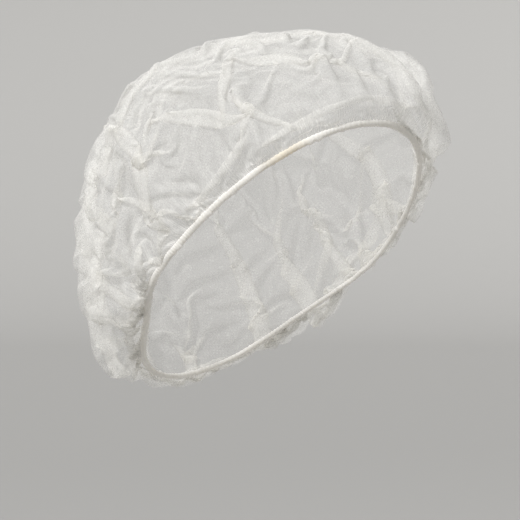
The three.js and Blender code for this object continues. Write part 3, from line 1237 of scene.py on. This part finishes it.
@dataclass(frozen=True)
class FoldedHem:
    """The same nonwoven folded over and gathered tight, so that many layers make it nearly opaque.

    Attributes:
        show: The place where the stretched casing lets the elastic's colour show most.
        name: The material's name.
        colour: The cloth's colour.
        tint: The elastic's colour through it.
        opacity: The share of light that the casing stops where it is thinnest.
        glow: The share of scattered light that comes out behind.
        reach: How far round that place the tint goes, in metres.
        grain_size: The size of the cloth's grain.
        patch_size: That of the tint's patches.
    """

    show: tuple[float, float, float]
    name: str = "gathered_spunbond_hem"
    colour: str = "FBFAF8"
    tint: str = "EBD9AE"
    opacity: float = 0.88
    glow: float = 0.35
    reach: float = 16.0 * MM
    grain_size: float = 1.1 * MM
    patch_size: float = 16.0 * MM

    def material(self) -> Material:
        """Makes the material.

        Returns:
            The new material.
        """
        made, tree = blank(self.name)
        place = node(tree, "TexCoord", out="Object")
        # The fine grain of packed gathers.
        grain = node(tree, "TexNoise", {"Vector": place, "Scale": 1 / self.grain_size, "Detail": 3.0})
        # The cream tint where the elastic shows through.
        patches = node(tree, "TexNoise", {"Vector": place, "Scale": 1 / self.patch_size, "Detail": 2.0})
        away = node(tree, "VectorMath", {0: place, 1: self.show}, out="Value", operation="DISTANCE")
        shown = node(tree, "MapRange", {"Value": away, "From Max": self.reach, "To Min": 0.8,
                                        "To Max": 0.0})
        tinted = node(tree, "Math", {0: patches, 1: shown}, operation="MULTIPLY")
        shade = node(tree, "Mix", {0: tinted, 6: linear(self.colour), 7: linear(self.tint)},
                     out=2, data_type="RGBA")
        solid = node(tree, "MapRange", {"Value": grain, "From Min": 0.3, "From Max": 0.7,
                                        "To Min": self.opacity})
        normal = node(tree, "Bump", {"Height": grain, "Strength": 0.4, "Distance": 0.2 * MM})
        sheer(tree, shade, normal, self.glow, solid)
        return made


@dataclass(frozen=True)
class ElasticYarn:
    """Cream latex-free elastic, spun round with yarn.

    Attributes:
        name: The material's name.
        colour: The yarn's colour.
        rib: The size of its ribs, in metres.
    """

    name: str = "covered_elastic_yarn"
    colour: str = "F0E8D6"
    rib: float = 0.7 * MM

    def material(self) -> Material:
        """Makes the material.

        Returns:
            The new material.
        """
        made, tree = blank(self.name)
        place = node(tree, "TexCoord", out="Object")
        # The ribs of the yarn, which break up the cord's soft sheen.
        ribs = node(tree, "TexNoise", {"Vector": place, "Scale": 1 / self.rib, "Detail": 2.0})
        normal = node(tree, "Bump", {"Height": ribs, "Strength": 0.5, "Distance": 0.1 * MM})
        yarn = node(tree, "BsdfPrincipled", {"Base Color": linear(self.colour), "Roughness": 0.6,
                                             "Normal": normal})
        node(tree, "OutputMaterial", {"Surface": yarn})
        return made


@dataclass(frozen=True)
class Lamp:
    """A distant lamp, soft by the angle that it fills.

    Attributes:
        name: What it does.
        place: The direction that it shines from.
        power: Its strength in watts a square metre.
        spread: The angle that it fills, in degrees.
    """

    name: str
    place: tuple[float, float, float]
    power: float
    spread: float

    def hang(self) -> None:
        """Puts the lamp in the scene."""
        lamp = bpy.data.lights.new(self.name, "SUN")
        light = bpy.data.objects.new(self.name, lamp)
        bpy.context.scene.collection.objects.link(light)
        lamp.energy, lamp.angle = self.power, math.radians(self.spread)
        light.location = self.place
        light.rotation_euler = (-Vector(self.place)).to_track_quat("-Z", "Y").to_euler()


@dataclass
class Studio:
    """The plain floor, the soft light and the camera at the picture's angle.

    Attributes:
        azimuth_degrees: The camera's turn from the front, below zero to the wearer's right.
        elevation_degrees: Its height above level.
        distance: How far it stands from the opening's middle, in metres.
        frame_pixels: The picture's width.
        metres_a_pixel: Its scale at that distance.
        origin_pixel: Where in it the opening's middle lies.
        paper: The floor's colour.
        sky: How bright the room is all round.
        lamps: The lamps.
        floor_height: Where the floor lies.
        floor_radius: How far it reaches before its rim curves up.
        rim: The radius of that curve.
        rim_steps: How many steps the curve has.
    """

    azimuth_degrees: float = -40.0
    elevation_degrees: float = 3.0
    distance: float = 1.5
    frame_pixels: float = 520.0
    metres_a_pixel: float = 0.54 * MM
    origin_pixel: tuple[float, float] = (272.0, 255.0)
    paper: str = "A6A5A3"
    sky: float = 0.5
    lamps: tuple[Lamp, ...] = (
        Lamp("key", (-1.25, -0.35, 1.0), 3.2, 9.0),
        Lamp("fill", (-0.2, -1.4, 0.1), 1.0, 60.0),
        Lamp("back", (0.5, 1.4, 0.9), 1.2, 20.0),
    )
    floor_height: float = -0.32
    floor_radius: float = 3.2
    rim: float = 1.2
    rim_steps: int = 12

    def camera(self) -> None:
        """Sets up the camera."""
        turn, rise = math.radians(self.azimuth_degrees), math.radians(self.elevation_degrees)
        level = math.cos(rise)
        back = Vector((math.sin(turn) * level, -math.cos(turn) * level, math.sin(rise)))
        data = bpy.data.cameras.new("camera")
        camera = bpy.data.objects.new("camera", data)
        bpy.context.scene.collection.objects.link(camera)
        camera.location = back * self.distance
        camera.rotation_euler = (-back).to_track_quat("-Z", "Y").to_euler()
        data.lens_unit = "FOV"
        data.angle = 2 * math.atan(0.5 * self.frame_pixels * self.metres_a_pixel / self.distance)
        half = self.frame_pixels / 2
        data.shift_x = -(self.origin_pixel[0] - half) / self.frame_pixels
        data.shift_y = (self.origin_pixel[1] - half) / self.frame_pixels
        bpy.context.scene.camera = camera

    def light(self) -> None:
        """Sets up the light."""
        scene = bpy.context.scene
        world = bpy.data.worlds.new("studio")
        scene.world = world
        world.use_nodes = True
        world.node_tree.nodes["Background"].inputs[0].default_value = (self.sky, self.sky, self.sky, 1)
        for lamp in self.lamps:
            lamp.hang()
        scene.view_settings.view_transform = "Standard"
        # Folded sheer cloth is many layers deep, and light must get through them all.
        scene.cycles.transparent_max_bounces = 64
        scene.cycles.diffuse_bounces = 8

    def sweep(self) -> None:
        """Sets up the floor, a wide disc of pale paper whose rim curves up all round."""
        bpy.ops.object.select_all(action="DESELECT")
        bpy.ops.mesh.primitive_circle_add(vertices=96, radius=self.floor_radius, fill_type="NOTHING",
                                          location=(0.0, 0.0, self.floor_height))
        floor = bpy.context.object
        floor.name = "floor"
        bpy.ops.object.mode_set(mode="EDIT")
        bpy.ops.mesh.select_all(action="SELECT")
        turns = [0.5 * math.pi * step / self.rim_steps for step in range(self.rim_steps + 1)]
        for last, turn in zip(turns, turns[1:]):
            reach = self.floor_radius + self.rim * math.sin(last)
            growth = (self.floor_radius + self.rim * math.sin(turn)) / reach
            up = self.rim * (math.cos(last) - math.cos(turn))
            bpy.ops.mesh.extrude_region_move(TRANSFORM_OT_translate={"value": (0.0, 0.0, up)})
            bpy.ops.transform.resize(value=(growth, growth, 1.0))
        bpy.ops.mesh.extrude_region_move(TRANSFORM_OT_translate={"value": (0.0, 0.0, self.rim)})
        bpy.ops.mesh.select_all(action="DESELECT")
        bpy.ops.object.mode_set(mode="OBJECT")
        for edge in floor.data.edges:
            edge.select = all(abs(floor.data.vertices[i].co.z) < MM for i in edge.vertices)
        bpy.ops.object.mode_set(mode="EDIT")
        bpy.ops.mesh.select_mode(type="EDGE")
        bpy.ops.mesh.edge_face_add()
        bpy.ops.mesh.select_all(action="SELECT")
        bpy.ops.mesh.faces_shade_smooth()
        bpy.ops.object.mode_set(mode="OBJECT")
        paper, tree = blank("pale_studio_paper")
        matt = node(tree, "BsdfDiffuse", {"Color": linear(self.paper)})
        node(tree, "OutputMaterial", {"Surface": matt})
        floor.data.materials.append(paper)


def report(piece: Object) -> None:
    """Reports a finished piece."""
    log.info("%s: %d faces", piece.name, len(piece.data.polygons))


def main() -> None:
    """Builds the cap and the studio, piece by piece."""
    logging.basicConfig(level=logging.INFO, format="%(message)s")
    studio = Studio()
    studio.camera()
    studio.light()
    studio.sweep()
    opening = Opening()
    line = HemLine(opening)
    form = WornForm(opening, line)

    casing = HemCasing(line, form)
    hem = casing.build()
    cream_at = line.centre(np.array(math.radians(29.0)))
    casing.dress(hem, FoldedHem(show=tuple(cream_at.tolist())))
    report(hem)

    crown = CrownSheet(form)
    sheet = crown.build()
    crown.dress(sheet, SpunBond(cut=crown.cut), hem)
    report(sheet)

    band = ElasticBand()
    cord = band.build()
    band.dress(cord, ElasticYarn())
    report(cord)


if __name__ == "__main__":
    main()
